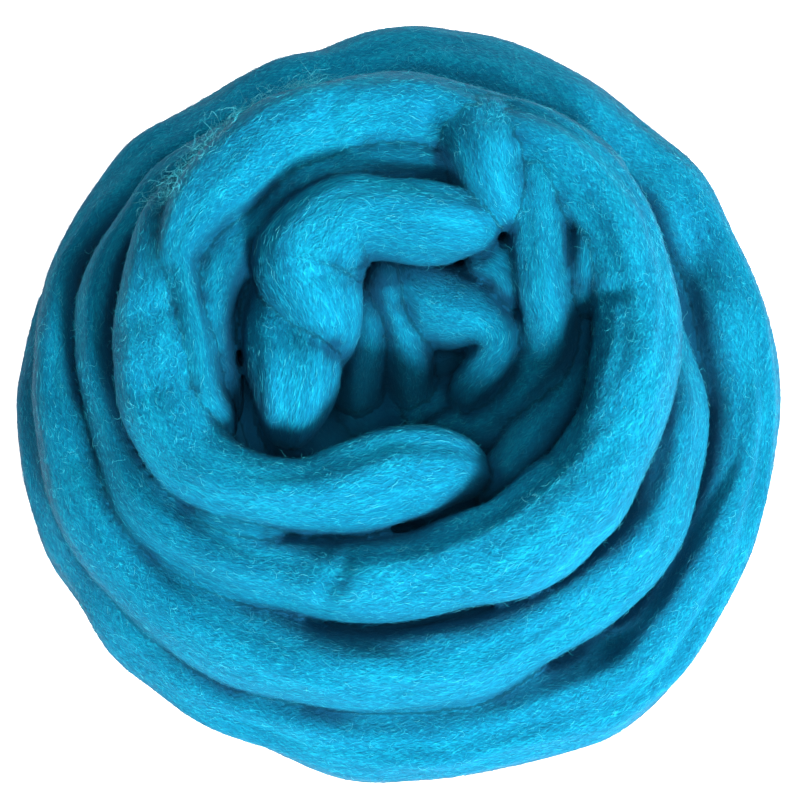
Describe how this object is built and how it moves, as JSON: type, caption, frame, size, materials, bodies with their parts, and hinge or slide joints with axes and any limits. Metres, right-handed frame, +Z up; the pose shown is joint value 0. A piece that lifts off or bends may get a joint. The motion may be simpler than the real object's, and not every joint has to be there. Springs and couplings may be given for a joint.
{
  "type": "wool roving",
  "caption": "Nest of soft combed wool roving: one thick dyed strand wound round and inward in rising turns, with its inner end folded over in the middle.",
  "frame": {"origin": "middle of the nest's outline, on the surface it lies on", "axes": "+Z up, -Y towards the front, from which the camera looks down, +X to the right"},
  "size_m": [0.2568, 0.259, 0.0859],
  "materials": {
    "dyed_wool": "soft matte combed wool with a faint silky sheen along its fibres"
  },
  "bodies": {
    "root": {"roving": "dyed_wool"}
  },
  "joints": []
}
